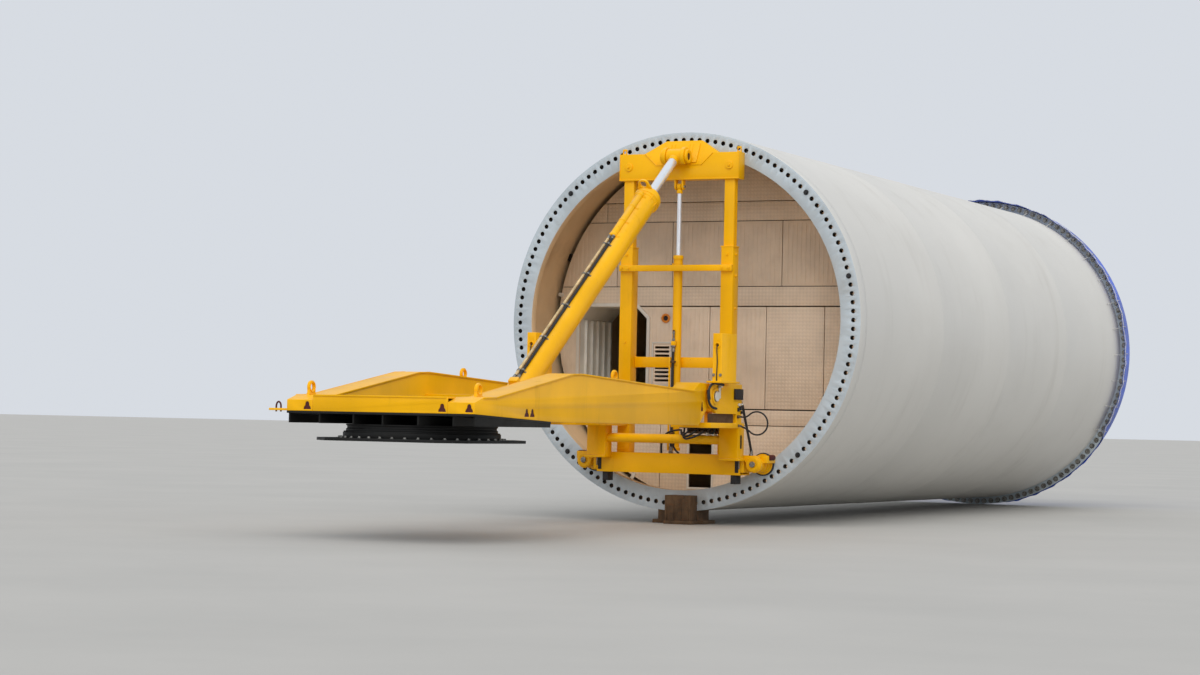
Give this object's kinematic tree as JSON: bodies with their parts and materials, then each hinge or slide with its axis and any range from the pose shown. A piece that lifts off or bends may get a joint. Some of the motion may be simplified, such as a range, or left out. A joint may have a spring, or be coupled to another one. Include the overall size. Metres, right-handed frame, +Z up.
{
  "type": "wind turbine tower section with transport lifting adaptor",
  "caption": "Base section of a steel wind turbine tower lying on its side, held at its flange by a yellow lifting adaptor with mast, hinged arm, luffing cylinder and slewing ring.",
  "frame": {"origin": "on the ground below the middle of the whole length, level with the lowest point of the far flange and the underside of the transport foot", "axes": "+Y along the tower axis from the lifting adaptor to the covered far flange, +Z up, and +X to the side where the clamp hose and its loop hang"},
  "size_m": [6.5526, 25.3943, 6.5263],
  "materials": {
    "shell_white": "satin white paint with transport dirt",
    "flange_grey": "matt metal-sprayed grey",
    "deck_beige": "matt ribbed and tread plate",
    "frame_pale": "satin painted sheet",
    "dark_metal": "matt dark paint with grease and dust",
    "crane_yellow": "gloss golden yellow paint",
    "chrome_rod": "polished hard chrome",
    "pin_steel": "browned greasy steel",
    "rust_brown": "rusty brown primer",
    "cover_blue": "blue tarpaulin",
    "hose_black": "matt black hydraulic hose",
    "hose_cream": "cream hose sleeve",
    "port_orange": "orange rim of a cable port"
  },
  "bodies": {
    "tower": {"shell_can_1": "shell_white", "shell_can_2": "shell_white", "shell_can_3": "shell_white", "shell_can_4": "shell_white", "near_flange": "flange_grey", "far_flange": "flange_grey", "platform_upper_panels": "deck_beige", "platform_lift_panels": "deck_beige", "platform_lower_panels": "deck_beige", "vent_grille": "deck_beige", "lift_well": "frame_pale", "platform_frame": "dark_metal", "top_crossbeam": "crane_yellow", "rod_anchor": "crane_yellow", "mast_sleeve_right": "crane_yellow", "mast_sleeve_left": "crane_yellow", "mast_post_right": "crane_yellow", "mast_post_left": "crane_yellow", "keeper_bar": "crane_yellow", "lower_crossbar": "crane_yellow", "lift_cylinder_barrel": "crane_yellow", "lower_crossbeam": "crane_yellow", "clamp_fork_right": "crane_yellow", "clamp_fork_left": "crane_yellow", "clamp_jaw_right": "crane_yellow", "clamp_jaw_left": "crane_yellow", "hinge_bracket_right": "crane_yellow", "hinge_bracket_left": "crane_yellow", "bracket_leg_right": "crane_yellow", "bracket_leg_left": "crane_yellow", "side_shift_tube": "crane_yellow", "upright_right": "crane_yellow", "upright_left": "crane_yellow", "lift_cylinder_rod": "chrome_rod", "rod_pin": "pin_steel", "hinge_pin_right": "pin_steel", "hinge_pin_left": "pin_steel", "transport_foot_block": "rust_brown", "transport_foot_shoe": "rust_brown", "end_cover": "cover_blue", "lift_hose": "hose_black", "clamp_hose": "hose_black", "loop_hose": "hose_black", "round_port": "port_orange"},
    "arm": {"girder_right": "crane_yellow", "girder_left": "crane_yellow", "front_crossbeam": "crane_yellow", "lashing_tab_left": "crane_yellow", "deck_plate": "dark_metal", "underframe": "dark_metal", "slew_ring": "dark_metal", "luff_foot_beam": "crane_yellow"},
    "turntable": {"turntable_ring": "dark_metal", "turntable_plate": "dark_metal"},
    "luff_rod": {"luff_rod": "chrome_rod"},
    "luff_barrel": {"luff_barrel": "crane_yellow", "barrel_pipe_cover": "crane_yellow", "barrel_hose_cream": "hose_cream", "barrel_hose_dark": "hose_black"}
  },
  "joints": [
    {"name": "arm_tilt", "type": "hinge", "parent": "tower", "child": "arm", "pos_m": [0, -5.21715, 2.03], "axis": [1, 0, 0], "range_deg": [-4, 6]},
    {"name": "luff_swing", "type": "hinge", "parent": "tower", "child": "luff_rod", "pos_m": [0, -3.57715, 5.87], "axis": [1, 0, 0], "range_deg": [-2.1, 3]},
    {"name": "luff_extend", "type": "slide", "parent": "luff_rod", "child": "luff_barrel", "axis": [0, -0.8071, -0.5905], "range_m": [-0.16, 0.235]},
    {"name": "turntable_slew", "type": "hinge", "parent": "arm", "child": "turntable", "pos_m": [0, -11.56715, 1.32], "axis": [0, 0, 1], "range_deg": [-90, 90]}
  ],
  "couplings": [
    {"joint": "luff_swing", "follows": "arm_tilt", "ratio": 0.482},
    {"joint": "luff_extend", "follows": "arm_tilt", "m_per_rad": 2.1}
  ]
}
